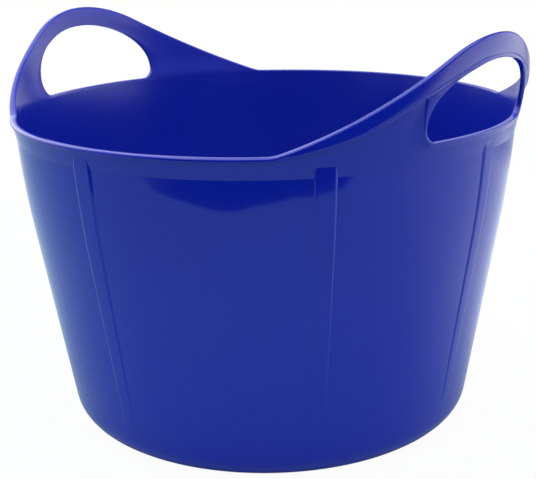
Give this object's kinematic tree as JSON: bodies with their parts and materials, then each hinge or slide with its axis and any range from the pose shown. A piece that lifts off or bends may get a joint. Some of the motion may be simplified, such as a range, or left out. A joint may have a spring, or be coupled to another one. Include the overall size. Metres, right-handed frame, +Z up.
{
  "type": "flexible two-handled tub",
  "caption": "Tapered round flexible plastic tub with a flared rim, raised wall ribs and a moulded loop handle on each side, for carrying feed, water or soil.",
  "frame": {"origin": "centre of the flat underside, where the tub stands", "axes": "+Z up out of the mouth, +X towards the right handle, -X towards the left handle, Y across the handles"},
  "size_m": [0.3941, 0.37, 0.293],
  "materials": {
    "blue_polyethylene": "glossy royal-blue low-density polyethylene, smooth moulded skin"
  },
  "bodies": {
    "tub": {"tub_floor": "blue_polyethylene", "base_heel": "blue_polyethylene", "tub_wall": "blue_polyethylene", "wall_ribs": "blue_polyethylene", "right_rim": "blue_polyethylene", "left_rim": "blue_polyethylene", "right_handle_shoulders": "blue_polyethylene", "left_handle_shoulders": "blue_polyethylene"},
    "right_handle": {"right_handle_loop": "blue_polyethylene", "right_handle_strap": "blue_polyethylene", "right_handle_collar": "blue_polyethylene"},
    "left_handle": {"left_handle_loop": "blue_polyethylene", "left_handle_strap": "blue_polyethylene", "left_handle_collar": "blue_polyethylene"}
  },
  "joints": [
    {"name": "right_handle_flex", "type": "hinge", "parent": "tub", "child": "right_handle", "pos_m": [0.17198, 0, 0.233], "axis": [0, -1, 0], "range_deg": [-12, 35], "stiffness_Nm_per_rad": 1.5},
    {"name": "left_handle_flex", "type": "hinge", "parent": "tub", "child": "left_handle", "pos_m": [-0.17198, 0, 0.233], "axis": [0, 1, 0], "range_deg": [-12, 35], "stiffness_Nm_per_rad": 1.5}
  ]
}
